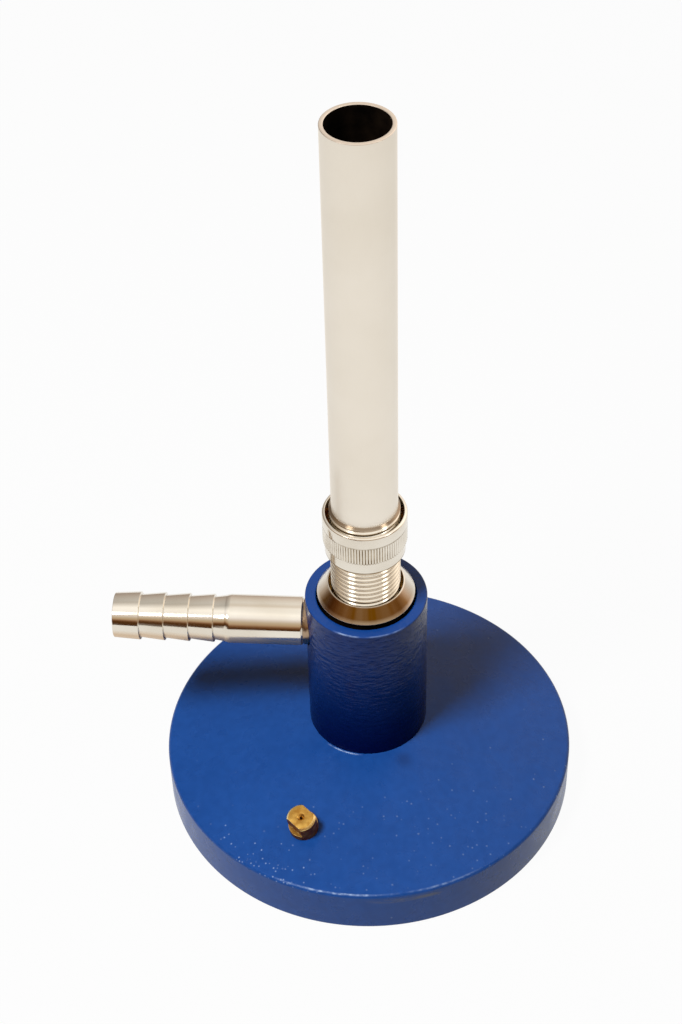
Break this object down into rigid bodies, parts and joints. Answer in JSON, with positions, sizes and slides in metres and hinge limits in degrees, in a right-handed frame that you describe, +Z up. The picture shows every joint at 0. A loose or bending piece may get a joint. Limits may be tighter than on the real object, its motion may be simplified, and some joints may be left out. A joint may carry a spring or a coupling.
{
  "type": "bunsen burner",
  "caption": "Laboratory gas burner: round painted cast base and column, barbed hose nozzle, air cone, knurled air ring on a threaded burner tube, and a spare jet kept in the base.",
  "frame": {"origin": "on the burner's axis, in the plane that the base stands on", "axes": "+Z up along the burner tube, -X along the hose nozzle"},
  "size_m": [0.0946, 0.086, 0.1625],
  "materials": {
    "blue_paint": "semi-gloss blue paint over cast iron, with dust nibs and a coarse column side",
    "bright_nickel": "bright nickel plate, fine turning marks",
    "satin_nickel": "satin nickel plate",
    "brass": "bare turned brass, a little tarnished",
    "zinc_steel": "zinc plated steel"
  },
  "bodies": {
    "stand": {"base": "blue_paint", "column": "blue_paint", "fixing_screw": "zinc_steel", "spring_washer": "zinc_steel", "gas_body": "brass", "gas_jet": "brass", "tube_carrier": "brass", "air_cone": "bright_nickel", "gas_inlet": "bright_nickel", "inlet_washer": "bright_nickel"},
    "tube": {"burner_tube": "satin_nickel"},
    "ring": {"air_ring": "bright_nickel"},
    "jet": {"spare_jet": "brass"}
  },
  "joints": [
    {"name": "tube_unscrew", "type": "slide", "parent": "stand", "child": "tube", "axis": [0, 0, 1], "range_m": [0, 0.03]},
    {"name": "air_ring_travel", "type": "slide", "parent": "tube", "child": "ring", "axis": [0, 0, 1], "range_m": [-0.0094, 0.0015]},
    {"name": "spare_jet_unscrew", "type": "slide", "parent": "stand", "child": "jet", "axis": [-0.0916, -0.2246, 0.9701], "range_m": [0, 0.008]}
  ]
}
